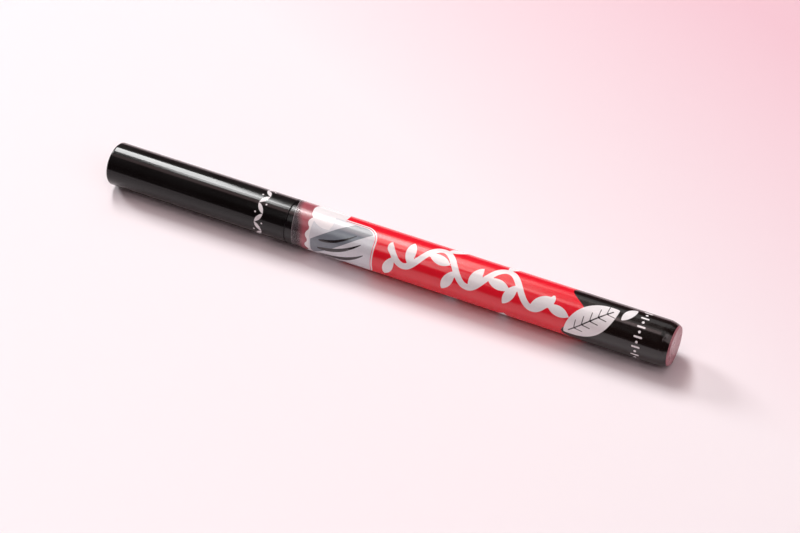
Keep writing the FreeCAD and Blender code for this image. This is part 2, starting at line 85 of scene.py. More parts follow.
# %% Meshes from rings of points
def finish_piece(name, points, faces, sharp=35):
    """Mesh object from points in millimetres, smooth but for edges that bend by more than sharp degrees.

    The volume is the sum of a . (b x c) / 6 over all triangles. Below zero the shell is inside out.
    """
    mesh = bpy.data.meshes.new(name)
    mesh.from_pydata((points * MM).tolist(), [], faces)
    mesh.calc_loop_triangles()
    corners = np.zeros(3 * len(mesh.loop_triangles), int)
    mesh.loop_triangles.foreach_get("vertices", corners)
    a, b, c = np.moveaxis(points[corners.reshape(-1, 3)], 1, 0)
    if np.einsum("ij,ij", a, np.cross(b, c)) < 0:
        mesh.flip_normals()
    mesh.shade_smooth()
    mesh.set_sharp_from_angle(angle=math.radians(sharp))
    piece = bpy.data.objects.new(name, mesh)
    bpy.context.scene.collection.objects.link(piece)
    print(f"{name}: {len(points)} points, {len(mesh.loop_triangles)} triangles")
    return piece


def ring_surface(name, stations, radii, closed):
    """Surface through rings round the pen's axis, from grids of stations and radii (row, column).

    Column j is at the angle t = 2 pi j / columns from straight up towards the near side, and a point is
    (station - OVERALL / 2, -r sin t, AXIS_HEIGHT + r cos t). A closed surface joins its last row to its
    first. An open one ends in a pole at the first and at the last row.
    """
    rows, columns = stations.shape
    turn = 2 * np.pi * np.arange(columns) / columns
    points = np.stack([
        stations - OVERALL / 2,
        -radii * np.sin(turn),
        AXIS_HEIGHT + radii * np.cos(turn),
    ], axis=-1)
    here = np.arange(rows * columns).reshape(rows, columns)
    across = np.roll(here, -1, axis=1)
    if closed:
        after = np.roll(here, -1, axis=0)
        after_across = np.roll(across, -1, axis=0)
        quads = np.stack([here, after, after_across, across], axis=-1).reshape(-1, 4)
        return finish_piece(name, points.reshape(-1, 3), quads.tolist())
    inner = here[1:-1] - columns
    inner_across = across[1:-1] - columns
    first, last = (rows - 2) * columns, (rows - 2) * columns + 1
    quads = np.stack([inner[:-1], inner[1:], inner_across[1:], inner_across[:-1]], axis=-1)
    start_fan = np.stack([np.full(columns, first), inner[0], inner_across[0]], axis=-1)
    end_fan = np.stack([np.full(columns, last), inner_across[-1], inner[-1]], axis=-1)
    poles = points[[0, -1], 0]
    points = np.concatenate([points[1:-1].reshape(-1, 3), poles])
    faces = quads.reshape(-1, 4).tolist() + start_fan.tolist() + end_fan.tolist()
    return finish_piece(name, points, faces)


# %% Profiles with rounded corners
BESIDE = 0.08


def rounded(corners, steps=7):
    """Profile through corners (station, radius, rounding). A rounding above 0 becomes a tangent arc.

    The arc's centre lies on the corner's bisector, rounding / sin(half angle) from the corner. A point
    just before and just after the arc keeps its bent normals off the straight runs beside it.
    """
    line = []
    for i, corner in enumerate(corners):
        point = np.array(corner[:2], float)
        size = corner[2] if len(corner) == 3 else 0
        if not size:
            line.append(point)
            continue
        back = np.array(corners[i - 1][:2], float) - point
        ahead = np.array(corners[(i + 1) % len(corners)][:2], float) - point
        back, ahead = back / np.hypot(*back), ahead / np.hypot(*ahead)
        half = math.acos(np.clip(back @ ahead, -1, 1)) / 2
        bisector = (back + ahead) / np.hypot(*(back + ahead))
        centre = point + bisector * size / math.sin(half)
        first = point + back * size / math.tan(half) - centre
        last = point + ahead * size / math.tan(half) - centre
        start = math.atan2(first[1], first[0])
        sweep = (math.atan2(last[1], last[0]) - start + math.pi) % (2 * math.pi) - math.pi
        angle = start + sweep * np.linspace(0, 1, steps)
        line.append(centre + first + back * size * BESIDE)
        line.extend(centre + size * np.stack([np.cos(angle), np.sin(angle)], axis=-1))
        line.append(centre + last + ahead * size * BESIDE)
    return np.array(line)


def turned(name, profile, closed, columns=SEGMENTS):
    """Piece of revolution from a profile of (station, radius) points."""
    ones = np.ones(columns)
    return ring_surface(name, profile[:, :1] * ones, profile[:, 1:] * ones, closed)


def dress(piece, solid, body, finish):
    """Put a piece in the place of a CAD node's solid, on its body, with a material."""
    piece.data.materials.append(finish)
    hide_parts(solid)
    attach(piece, body)


# %% [markdown]
# ## Colours and nodes
# Colours are written as the sRGB hex values that a picture editor shows, and shaders want linear light,
# so one function converts them. A second small function adds a node, sets it and links it, which keeps
# each material readable as a list of its nodes.

# %% Helpers for materials
def linear(code):
    """Linear RGBA of an sRGB hex colour: v / 12.92 when dark, else ((v + 0.055) / 1.055) to the 2.4."""
    value = np.array([int(code[i:i + 2], 16) for i in (1, 3, 5)]) / 255
    light = np.where(value <= 0.04045, value / 12.92, ((value + 0.055) / 1.055) ** 2.4)
    return (*light.tolist(), 1.0)


def per_mm(size):
    """Texture scale that gives features of the given size in millimetres on Object coordinates."""
    return 1 / (size * MM)


def node(tree, kind, inputs=None, **settings):
    """Add a shader node. Each input is a value for its socket, or the output socket that feeds it."""
    made = tree.nodes.new("ShaderNode" + kind)
    for key, setting in settings.items():
        setattr(made, key, setting)
    for key, source in (inputs or {}).items():
        if isinstance(source, bpy.types.NodeSocket):
            tree.links.new(source, made.inputs[key])
        else:
            made.inputs[key].default_value = source
    return made


def material(name):
    """Empty node material with its Object coordinates, returned as (material, tree, coordinates)."""
    made = bpy.data.materials.new(name)
    made.use_nodes = True
    made.node_tree.nodes.clear()
    place = node(made.node_tree, "TexCoord").outputs["Object"]
    return made, made.node_tree, place


FACTOR, FIRST, SECOND, MIXED = 0, 6, 7, 2


def output(tree, **inputs):
    """Principled surface with these inputs, joined to the material's output."""
    names = {key.replace("_", " "): source for key, source in inputs.items()}
    surface = node(tree, "BsdfPrincipled", names)
    node(tree, "OutputMaterial", {"Surface": surface.outputs["BSDF"]})
    return surface


# %% [markdown]
# ## Moulded plastics
# The cap is polystyrene from a polished mould: a black that is almost bare reflection. A perfectly even
# mirror looks computed, so a slow drift of roughness and a very shallow sink of the surface, a few
# millimetres across, give the reflections the slight waver that moulded walls have.
# The rose barrel, the natural inner cap, the grey ferrule and the collector are moulded too, so one
# function makes them all from a colour, a roughness and a grain size.

# %% Moulded plastic
def moulded(name, code, gloss, grain, depth, waver=3.0, specks=0.06):
    """Moulded plastic: colour drift, roughness gloss plus or minus a third, and a fine grain.

    waver is the width of the slow drift and grain that of the fine grain, both in millimetres. depth is
    the height of the grain in millimetres, and specks the share by which it darkens the colour. A real
    mould's grain is finer, and is drawn coarser here so that it shows.
    """
    made, tree, place = material(name)
    drift = node(tree, "TexNoise", {"Vector": place, "Scale": per_mm(waver), "Detail": 2.0})
    fine = node(tree, "TexNoise", {"Vector": place, "Scale": per_mm(grain), "Detail": 3.0})
    shine = node(tree, "MapRange", {
        "Value": drift.outputs["Fac"], "From Min": 0.3, "From Max": 0.7,
        "To Min": gloss * 0.7, "To Max": gloss * 1.3})
    dark = tuple(c * (1 - specks) for c in linear(code)[:3]) + (1.0,)
    colour = node(tree, "Mix", {
        FACTOR: fine.outputs["Fac"], FIRST: dark, SECOND: linear(code)}, data_type="RGBA")
    bump = node(tree, "Bump", {
        "Height": fine.outputs["Fac"], "Strength": 0.5, "Distance": depth * MM})
    surface = output(
        tree, Base_Color=colour.outputs[MIXED], Roughness=shine.outputs["Result"],
        Normal=bump.outputs["Normal"], IOR=1.5)
    return made, tree, surface, colour


def clear_coat(surface, rough, ior):
    """Full clear coat on a Principled surface, with its own roughness and IOR."""
    surface.inputs["Coat Weight"].default_value = 1.0
    surface.inputs["Coat Roughness"].default_value = rough
    surface.inputs["Coat IOR"].default_value = ior


# %% Six moulded plastics
# Polypropylene in a dusky rose: a soft sheen, with the gloss of the film close on it as a coat.
rose_polypropylene, _, surface, _ = moulded(
    "rose_polypropylene", "#b4646f", 0.2, 0.6, 0.003, specks=0.12)
clear_coat(surface, rough=0.12, ior=1.57)
# Tail face of the same rose plastic, made lighter: painted reflection of the pale floor that the face
# looks onto.
tail_polypropylene, *_ = moulded("tail_polypropylene", "#b97a84", 0.3, 0.5, 0.004, specks=0.16)
# Black ABS of the collar, neck and nozzle, a little duller than the cap.
black_abs, *_ = moulded("black_abs", "#0b0a0b", 0.16, 0.4, 0.002)
# Natural soft polyethylene: milky, waxy and not quite smooth.
natural_polyethylene, *_ = moulded("natural_polyethylene", "#dcdad2", 0.42, 0.5, 0.004)
# Acetal of the ferrule: hard, slightly greasy grey.
grey_acetal, *_ = moulded("grey_acetal", "#8d8e90", 0.38, 0.3, 0.003)
# Natural ABS of the collector, ivory white with a fine spark-eroded grain.
natural_abs, *_ = moulded("natural_abs", "#cfccc0", 0.45, 0.25, 0.006)
print("moulded plastics ready")

# %% [markdown]
# ## Metals and fibres
# The return spring is drawn wire, with fine lines along it, and the mixing ball is ground and polished.
# The wick is a bundle of polyester fibres, so its pattern is stretched along the pen.

# %% Steel and fibre
def steel(name, code, rough, scratch, stretch):
    """Steel: metallic, with scratches that are scratch millimetres apart and stretched along X."""
    made, tree, place = material(name)
    along = node(tree, "Mapping", {"Vector": place, "Scale": (1 / stretch, 1.0, 1.0)})
    lines = node(tree, "TexNoise", {
        "Vector": along.outputs["Vector"], "Scale": per_mm(scratch), "Detail": 4.0})
    shine = node(tree, "MapRange", {
        "Value": lines.outputs["Fac"], "To Min": rough * 0.6, "To Max": rough * 1.5})
    bump = node(tree, "Bump", {
        "Height": lines.outputs["Fac"], "Strength": 0.3, "Distance": 0.002 * MM})
    output(tree, Base_Color=linear(code), Metallic=1.0, Roughness=shine.outputs["Result"],
           Normal=bump.outputs["Normal"])
    return made


def fibre(name, code, deep, strand, rough):
    """Fibres along the pen: dark gaps and light strands, strand millimetres across."""
    made, tree, place = material(name)
    along = node(tree, "Mapping", {"Vector": place, "Scale": (0.04, 1.0, 1.0)})
    lines = node(tree, "TexNoise", {
        "Vector": along.outputs["Vector"], "Scale": per_mm(strand), "Detail": 3.0})
    spread = node(tree, "MapRange", {
        "Value": lines.outputs["Fac"], "From Min": 0.35, "From Max": 0.65})
    colour = node(tree, "Mix", {
        FACTOR: spread.outputs["Result"], FIRST: linear(deep), SECOND: linear(code)},
        data_type="RGBA")
    bump = node(tree, "Bump", {
        "Height": lines.outputs["Fac"], "Strength": 0.6, "Distance": 0.02 * MM})
    output(tree, Base_Color=colour.outputs[MIXED], Roughness=rough, Normal=bump.outputs["Normal"])
    return made


# %% Two steels and two fibres
# Drawn stainless wire, with lines along it that are drawn coarser than real so that they show.
drawn_steel = steel("drawn_stainless_steel", "#b9babc", 0.26, 0.12, 3.0)
# Ground and polished bearing steel.
ball_steel = steel("polished_bearing_steel", "#c6c7ca", 0.08, 0.3, 1.0)
# Bonded polyester fibre of the wick, stained by the ink.
bonded_polyester = fibre("bonded_polyester_fibre", "#8f8b86", "#3a3736", 0.12, 0.8)
# Tapered polyester bristles, black and shiny because they are wet with ink.
wet_bristle = fibre("ink_wet_polyester_bristle", "#141214", "#060506", 0.05, 0.26)
print("steels and fibres ready")

# %% [markdown]
# ## Drawing on a round surface
# Print is drawn flat and then wrapped. Each point of a piece has a station along the pen and a distance
# round it, and together they are flat coordinates in millimetres. A shape there is a signed distance:
# below zero inside, zero on its edge. Stored on the mesh and compared with zero in the shader, it gives
# a crisp edge at any zoom, with no image. Shapes are joined by taking the least of their distances.

# %% Flat coordinates
GIRTH = 2 * math.pi * SHELL_R


def unrolled(piece):
    """Station from the crown, arc from the top with the near side up, and radius of a piece's points."""
    points = np.zeros(3 * len(piece.data.vertices))
    piece.data.vertices.foreach_get("co", points)
    x, y, z = points.reshape(-1, 3).T / MM
    return x + OVERALL / 2, SHELL_R * np.arctan2(-y, z - AXIS_HEIGHT), np.hypot(y, z - AXIS_HEIGHT)


def round_from(w, centre):
    """Shortest way round the pen from centre to w, negative one way and positive the other."""
    return (w - centre + GIRTH / 2) % GIRTH - GIRTH / 2


def union(*shapes):
    """All of the shapes together: the least of their distances."""
    return np.minimum.reduce(shapes)


def along_across(u, w, centre, turn):
    """Distances from centre along the way that the angle turn gives, and across it."""
    du, dw = u - centre[0], round_from(w, centre[1])
    along = du * math.cos(turn) + dw * math.sin(turn)
    across = dw * math.cos(turn) - du * math.sin(turn)
    return along, across


# %% Leaves, lines, discs and panels
def leaf(u, w, centre, length, width, turn):
    """Leaf: where two equal discs overlap, with its tips length apart and width across the middle."""
    along, across = along_across(u, w, centre, turn)
    radius = (length ** 2 + width ** 2) / (4 * width)
    offset = radius - width / 2
    return np.maximum(np.hypot(along, across + offset), np.hypot(along, across - offset)) - radius


def vein(u, w, centre, length, width, turn):
    """Straight line with round ends, length long and width across."""
    along, across = along_across(u, w, centre, turn)
    return np.hypot(np.maximum(np.abs(along) - length / 2, 0), across) - width / 2


def dot(u, w, centre, radius):
    """Disc."""
    return np.hypot(u - centre[0], round_from(w, centre[1])) - radius


def panel(u, w, centre, half, corner):
    """Rectangle with rounded corners, half its sizes long and round."""
    over_u = np.abs(u - centre[0]) - half[0] + corner
    over_w = np.abs(round_from(w, centre[1])) - half[1] + corner
    outside = np.hypot(np.maximum(over_u, 0), np.maximum(over_w, 0))
    return outside + np.minimum(np.maximum(over_u, over_w), 0) - corner


# %% Wavy stems and brush strokes
def stem(u, w, start, end, level, swing, length, width):
    """Wavy line w = level + swing sin(2 pi (u - start) / length), with round ends."""
    phase = 2 * np.pi * (np.clip(u, start, end) - start) / length
    slope = swing * 2 * np.pi / length * np.cos(phase)
    off = round_from(w, level + swing * np.sin(phase)) / np.sqrt(1 + slope ** 2)
    beyond = np.maximum(np.maximum(start - u, u - end), 0)
    return np.hypot(off, beyond) - width / 2


def flick(u, w, begin, bend, finish, width):
    """Brush stroke along the curve (1-t)^2 begin + 2t(1-t) bend + t^2 finish.

    Its radius is 0.85 (width / 2) sin(pi t^0.6)^0.8 plus that of a fine point, so that it swells soon
    and ends in a long tip.
    """
    fine_point = 0.09
    t = np.linspace(0, 1, 161)
    path = np.outer((1 - t) ** 2, begin) + np.outer(2 * t * (1 - t), bend) + np.outer(t ** 2, finish)
    radius = width / 2 * np.sin(np.pi * t ** 0.6) ** 0.8 * 0.85 + fine_point
    away = np.hypot(u[:, None] - path[:, 0], round_from(w[:, None], path[:, 1])) - radius
    return away.min(axis=1)


def keep_shape(piece, name, distance):
    """Store a signed distance on a piece's points, to be read by its material."""
    layer = piece.data.attributes.new(name, "FLOAT", "POINT")
    layer.data.foreach_set("value", np.ascontiguousarray(distance, np.float32))


# %% [markdown]
# ## The cap
# The cap is a straight tube with a closed crown, a small radius on the crown's edge and a tiny one on its
# lip. Inside are the post for the spring, the ring that holds the inner cap, the step behind the neck and
# the snap groove. A band of small white leaves is stamped near the mouth, so rows of points lie close
# together there and far apart elsewhere.

# %% Cap
STAMP_ROWS = np.arange(36.4, 43.2, 0.16)
cap_profile = np.concatenate([
    rounded([(0, 0), (0, SHELL_R, 0.6), (20, SHELL_R)])[:-1],
    np.stack([STAMP_ROWS, np.full_like(STAMP_ROWS, SHELL_R)], axis=-1),
    rounded([
        (44, SHELL_R), (CAP_MOUTH, SHELL_R, 0.15), (CAP_MOUTH, 4.45), (CAP_MOUTH - 0.3, BORE_R),
        (SNAP + 0.7, BORE_R), (SNAP + 0.4, 4.27), (SNAP - 0.4, 4.27), (SNAP - 0.7, BORE_R),
        (35.5, BORE_R), (35.5, 3.9), (14.3, 3.9), (13.9, 3.6), (13.5, 3.6), (13.5, 3.9),
        (1.3, 3.9), (1.3, 2.2), (2.6, 2.2, 0.3), (2.6, 0)]),
])
cap = turned("cap", cap_profile, closed=False)

# %% Cap's finish
u, w, out = unrolled(cap)
STAMP_AT = 39.8
STAMP_EDGE = 0.04
LEAVES_ROUND = 14
LEAF_LEAN = math.radians(38)
FAR_OFF = 9.0
stamp = np.full_like(u, FAR_OFF)
for k in range(LEAVES_ROUND):
    side = (-1) ** k
    middle = GIRTH * (k + 0.5) / LEAVES_ROUND
    next_gap = middle + GIRTH / (2 * LEAVES_ROUND)
    stamp = union(
        stamp,
        leaf(u, w, (STAMP_AT, middle), 2.9, 0.95, math.pi / 2 + LEAF_LEAN * side),
        dot(u, w, (STAMP_AT + side, next_gap), 0.22))
keep_shape(cap, "stamp_mm", np.where(out > BARREL_R, stamp, FAR_OFF))
print("leaves stamped round the cap:", LEAVES_ROUND)

# Polished black polystyrene: nearly bare reflection, with a band of white stamped leaves.
# A fine haze under the polish spreads a dim glow round each highlight.
polished_black, tree, surface, black = moulded(
    "polished_black_polystyrene", "#060606", 0.34, 1.2, 0.0012, waver=9.0)
surface.inputs["Specular IOR Level"].default_value = 0.08
clear_coat(surface, rough=0.10, ior=1.38)
leaves = node(tree, "Attribute", attribute_name="stamp_mm")
inside = node(tree, "MapRange", {
    "Value": leaves.outputs["Fac"], "From Min": -STAMP_EDGE, "From Max": STAMP_EDGE,
    "To Min": 1.0, "To Max": 0.0})
stamped = node(tree, "Mix", {
    FACTOR: inside.outputs["Result"], FIRST: black.outputs[MIXED], SECOND: linear("#efecee")},
    data_type="RGBA")
tree.links.new(stamped.outputs[MIXED], surface.inputs["Base Color"])
dress(cap, "cap_shell", "cap", polished_black)

# %% [markdown]
# ## The pieces under the cap
# When the cap comes off it takes the inner cap and its spring along and leaves the neck, the nozzle and
# the brush in view. All but the spring and the brush are pieces of revolution.

# %% Inner cap, front section and ferrule
inner_cap = turned("inner_cap_thimble", rounded([
    (9.9, 0), (9.9, 2.2, 0.25), (11.2, 2.2), (11.2, 3.82, 0.1), (12.4, 3.82, 0.1), (12.4, 2.5),
    (36.05, 2.5, 0.12), (36.05, 2.0, 0.12), (12.2, 2.0), (12.2, 0)]), closed=False, columns=128)
dress(inner_cap, "inner_cap", "inner_cap", natural_polyethylene)

front = turned("front_moulding", rounded([
    (NOZZLE_TIP, 0.95, 0.05), (NOZZLE_TIP, 1.35, 0.15), (36.1, 1.9, 0.1), (36.1, 2.55, 0.15),
    (38.1, 4.05, 0.3), (SNAP - 0.4, 4.05), (SNAP - 0.2, 4.11, 0.05), (SNAP + 0.2, 4.11, 0.05),
    (SNAP + 0.4, 4.05),
    (COLLAR, 4.05), (COLLAR, BARREL_R, 0.1), (BARREL_START, BARREL_R), (BARREL_START, BORE_R),
    (65.0, BORE_R, 0.1), (65.0, 3.3), (39.6, 3.3), (39.6, 1.2), (28.7, 1.2), (28.7, 0.95)]), closed=True)
dress(front, "front_section", "barrel", black_abs)

ferrule = turned("ferrule_sleeve", rounded([
    (22.5, 0.7, 0.05), (22.5, 0.95, 0.05), (28.7, 0.95), (28.7, 1.2, 0.05), (29.5, 1.2, 0.05),
    (29.5, 0.7)]), closed=True, columns=96)
dress(ferrule, "brush_ferrule", "barrel", grey_acetal)

# %% [markdown]
# ## The spring
# A wire carried along a helix: at each point of the path a circle stands square to it. The frame of each
# circle is known in closed form, out from the axis and square to that and to the path, so nothing twists.
# In the real pen the spring stretches when the cap lets go of the inner cap.

# %% Coiled wire
def coil(name, start, end, radius, wire, turns, steps, sides):
    """Wire of radius wire round a helix from station start to end.

    Path p(a) = (station, -radius sin a, radius cos a) with the station growing evenly with a. A point on
    the wire is p + wire (cos b out + sin b side), with out = (0, -sin a, cos a) and side = way x out.
    """
    a = np.linspace(0, 2 * np.pi * turns, steps)[:, None]
    b = 2 * np.pi * np.arange(sides) / sides
    climb = (end - start) / (2 * np.pi * turns)
    zero = np.zeros_like(a)
    out = np.concatenate([zero, -np.sin(a), np.cos(a)], axis=1)
    way = np.concatenate([zero + climb, -radius * np.cos(a), -radius * np.sin(a)], axis=1)
    side = np.cross(way / np.linalg.norm(way, axis=1, keepdims=True), out)
    path = np.concatenate([start + climb * a - OVERALL / 2, zero, zero + AXIS_HEIGHT], axis=1)
    path = path + radius * out
    ring = np.cos(b)[:, None] * out[:, None] + np.sin(b)[:, None] * side[:, None]
    points = path[:, None] + wire * ring
    here = np.arange(steps * sides).reshape(steps, sides)
    next_side = np.roll(here, -1, axis=1)
    quads = np.stack([here[:-1], here[1:], next_side[1:], next_side[:-1]], axis=-1).reshape(-1, 4)
    ends = [here[0].tolist(), here[-1][::-1].tolist()]
    return finish_piece(name, points.reshape(-1, 3), quads.tolist() + ends)


# %% Spring
spring = coil("return_spring", start=1.65, end=10.85, radius=2.575, wire=0.225,
              turns=7, steps=700, sides=16)
spring.data.materials.append(drawn_steel)
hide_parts("inner_cap_spring")
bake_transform(spring)

# %% [markdown]
# ## The brush
# A liner brush is a few hundred tapered filaments that ink draws together to one point. Particle hair
# could show that, but it doesn't survive export, so each filament is a thin tube of a few dozen faces.
# Their roots fill a disc evenly by the sunflower rule, and all of them narrow towards the point by the
# same curve, the outer ones ending a little sooner.

# %% Tapered filaments
GOLDEN_ANGLE = 2.39996
FILAMENT_R = 0.040


def tuft(name, root, point, radius, count, steps=9, sides=4):
    """Filaments from station root to station point.

    Filament k starts at sqrt((k + 0.5) / count) of the radius and at the angle GOLDEN_ANGLE k. At the
    share s of the length, its distance from the axis is times (1 - s^2.4)^0.9. Inner filaments go all
    the way and outer ones stop at 0.80 to 1.0 of it. Each tapers from FILAMENT_R to 0.18 of that.
    """
    k = np.arange(count)
    share = np.sqrt((k + 0.5) / count)
    angle = GOLDEN_ANGLE * k
    reach = 1 - 0.20 * share ** 2 * (0.5 + 0.5 * np.sin(7.31 * k))
    s = np.linspace(0, 1, steps)[None] * reach[:, None]
    spread = radius * share[:, None] * (1 - s ** 2.4) ** 0.9
    thick = FILAMENT_R * (1 - np.linspace(0, 1, steps)[None] * 0.82) * np.ones_like(s)
    ring = 2 * np.pi * np.arange(sides) / sides
    y = (spread * np.sin(angle)[:, None])[..., None] + thick[..., None] * np.cos(ring)
    z = (spread * np.cos(angle)[:, None])[..., None] + thick[..., None] * np.sin(ring)
    x = (root + (point - root) * s)[..., None] * np.ones(sides)
    points = np.stack([x - OVERALL / 2, y, AXIS_HEIGHT + z], axis=-1)
    here = np.arange(count * steps * sides).reshape(count, steps, sides)
    beside = np.roll(here, -1, axis=2)
    quads = np.stack([here[:, :-1], here[:, 1:], beside[:, 1:], beside[:, :-1]], axis=-1)
    caps = np.concatenate([here[:, 0, ::-1], here[:, -1]])
    return finish_piece(name, points.reshape(-1, 3), quads.reshape(-1, 4).tolist() + caps.tolist(), 60)


# %% Brush
brush = tuft("brush_tuft", root=26.5, point=13.6, radius=0.64, count=420)
dress(brush, "brush_tip", "barrel", wet_bristle)

# %% [markdown]
# ## Barrel and tail
# The barrel is a plain tube. The film covers it, and its rose shows only where the ink thins out. The
# tail plug closes it with a ribbed spigot. Its head has a rounded shoulder that leaves the barrel's side
# tangentially, and a flat face with a small rim radius.

# %% Barrel and tail plug
TAIL_HEAD = 2.8
TAIL_DROP = 0.72
SHOULDER_R = (TAIL_HEAD ** 2 + TAIL_DROP ** 2) / (2 * TAIL_DROP)


def shoulder(station, cover):
    """Radius of the tail shoulder under a cover: a circle of radius SHOULDER_R, tangent to the side."""
    return BARREL_R - SHOULDER_R + np.sqrt((SHOULDER_R + cover) ** 2 - (station - BARREL_END) ** 2)


barrel = turned("barrel_tube_rose", rounded([
    (BARREL_START, 4.4), (BARREL_START, BARREL_R), (BARREL_END, BARREL_R), (BARREL_END, 4.4),
    (BARREL_END - 0.25, BORE_R), (BARREL_START + 0.25, BORE_R)]), closed=True)
dress(barrel, "barrel_tube", "barrel", rose_polypropylene)

SPIGOT_R = 4.0
FIRST_RIB, RIB_STEP, RIB_HALF = 129.05, 2, 0.35
head = np.linspace(BARREL_END, OVERALL - 0.12, 14)
ribs = [
    (FIRST_RIB + RIB_STEP * k + side * RIB_HALF, SPIGOT_R if side else BORE_R)
    for k in range(3) for side in (-1, 0, 1)]
hollow = [(136.4, 0), (136.4, 3.0), (128.0, 3.0), (128.0, SPIGOT_R)]
plug = turned("tail_plug_rose", np.concatenate([
    np.array(hollow + ribs + [(BARREL_END, SPIGOT_R)]),
    np.stack([head, shoulder(head, 0)], axis=-1),
    rounded([(OVERALL - 0.11, 4.40), (OVERALL, 4.335, 0.08), (OVERALL, 2)])[1:-1],
    np.array([(OVERALL, 4.1), (OVERALL - 0.03, 3.9), (OVERALL - 0.04, 0)]),
]), closed=False)
dress(plug, "tail_plug", "barrel", tail_polypropylene)

# %% [markdown]
# ## The shrink film
# The sleeve is a printed tube of clear film, shrunk on with heat. Two things give it away: the front cut
# isn't square to the pen, and over the tail shoulder the spare film gathers in small puckers with a
# crease where the straight side ends. Both are in the rows of the grid: each column starts at its own
# front edge, and the radius over the shoulder gets a low ridge and a few folds.

# %% Film's cut, crease and folds
FILM_FRONT = 46.65
FILM_END = 137.4
FILM_SKEW = math.tan(math.radians(9.7))
FILM_THICK = SHELL_R - BARREL_R
CREASE_HEIGHT, CREASE_WIDTH, FOLD_HEIGHT = 0.035, 0.13, 0.035
CREASE_AT, FOLDS_FROM = BARREL_END + 0.8, BARREL_END + 0.9
film_turn = 2 * np.pi * np.arange(SEGMENTS) / SEGMENTS


def front_edge(angle):
    """Station of the crooked front cut at an angle round the pen: a plane that leans by FILM_SKEW."""
    return FILM_FRONT + SHELL_R * (1 + np.sin(angle)) * FILM_SKEW


def film_folds(station):
    """Height of crease and puckers over the tail shoulder.

    The crease is a ridge exp(-(distance / CREASE_WIDTH)^2) that wanders round the pen. The folds are
    narrow peaks max(cos, 0)^6 round the pen that swell and die away along the shoulder.
    """
    wander = CREASE_AT + 0.12 * np.sin(3 * film_turn + 1) + 0.12 * np.sin(17 * film_turn)
    uneven = 0.75 + 0.25 * np.sin(5 * film_turn + 2) * np.sin(2 * film_turn)
    ridge = CREASE_HEIGHT * uneven * np.exp(-((station - wander) / CREASE_WIDTH) ** 2)
    fold = np.maximum(np.cos(9 * film_turn + 1.3 * np.sin(2 * film_turn)), 0) ** 6
    along = np.clip((station - FOLDS_FROM) / (FILM_END - FOLDS_FROM), 0, 1)
    return ridge + FOLD_HEIGHT * fold * np.sin(np.pi * along) ** 2


# %% Film
# Where a stretch of rows starts and how far apart its rows are: close where the print has fine edges.
ROWS = (
    (FILM_FRONT, 0.06), (47.0, 0.2), (52.0, 0.15), (68.5, 0.45), (71.5, 0.35), (113.0, 0.16),
    (126.0, 0.3), (129.6, 0.1), (131.6, 0.4), (BARREL_END, 0))
CREASE_END = 136.4
INNER_GAP = 0.015
edge = front_edge(film_turn)
rows = np.concatenate([
    np.arange(a, b - step / 2, step) for (a, step), (b, _) in zip(ROWS, ROWS[1:])])
share = np.append((rows - FILM_FRONT) / (BARREL_END - FILM_FRONT), 1.0)
straight = edge + share[:, None] * (BARREL_END - edge)
over = np.concatenate([
    np.linspace(BARREL_END, CREASE_END, 30), np.linspace(CREASE_END, FILM_END, 10)[1:]])
over = over[1:, None] * np.ones(SEGMENTS)
under = edge + np.linspace(1, 0, 7)[:, None] * (BARREL_END - edge)
stations = np.concatenate([straight, over, over[::-6], under])
radii = np.concatenate([
    np.full_like(straight, SHELL_R),
    shoulder(over, FILM_THICK) + film_folds(over),
    shoulder(over[::-6], INNER_GAP),
    np.full_like(under, BARREL_R + INNER_GAP),
])
film = ring_surface("printed_film", stations, radii, closed=True)

# %% [markdown]
# ## The print
# From the front, the film has a clear strip that widens on the near side, a rose band that fades in, a
# white ground with a scalloped edge, a silver panel with three liner strokes, a long red field and a
# black tail. A white vine runs along the red, front and back, one large leaf crosses into the black, and
# a beaded ring closes the print. Every shape is one of the distances from above.

# %% Grounds of the print
u, w, _ = unrolled(film)
wave = 2 * np.pi * w / GIRTH
GROUND_FROM, RED_FROM, BLACK_FROM = 52.6, 58.4, 116.0
SCALLOPS, SCALLOP_DEPTH = 11, 0.9
CUT_GLINT_WIDTH = 0.08
CLEAR_LEAST, CLEAR_MORE, CLEAR_TURN = 0.6, 1.5, math.radians(28)
scallop = SCALLOP_DEPTH * np.abs(np.cos(SCALLOPS / 2 * wave))
keep_shape(film, "ground_mm", GROUND_FROM - scallop - u)
front_cut = front_edge(wave)
# A thin light grey opaque band along the film's cut edge: a painted glint where the edge catches the
# light.
keep_shape(film, "cut_glint_mm", u - front_cut - CUT_GLINT_WIDTH)
bare = np.clip(0.5 + 1.2 * np.sin(wave - CLEAR_TURN), 0, 1)
keep_shape(film, "rose_mm", front_cut + CLEAR_LEAST + CLEAR_MORE * bare - u)
keep_shape(film, "red_mm", RED_FROM + 1.3 * np.cos(2 * wave + 0.6) - u)
keep_shape(film, "black_mm", BLACK_FROM + 2.3 * np.cos(3 * (wave - 3.6 / SHELL_R)) - u)

CARD = (60.4, 6.2)
card = panel(u, w, CARD, (7.6, 6.3), 3.2)
keep_shape(film, "card_mm", card)
SLANT = math.radians(-35)
SLATE, SLATE_HALF, CARD_RIM = (62.4, 2.4), 1.9, 0.35
slate = np.abs((u - SLATE[0]) * math.sin(SLANT) - (w - SLATE[1]) * math.cos(SLANT)) - SLATE_HALF
keep_shape(film, "slate_mm", np.maximum(slate, card + CARD_RIM))
print("clear strip:", CLEAR_LEAST, "to", CLEAR_LEAST + CLEAR_MORE, "mm wide")

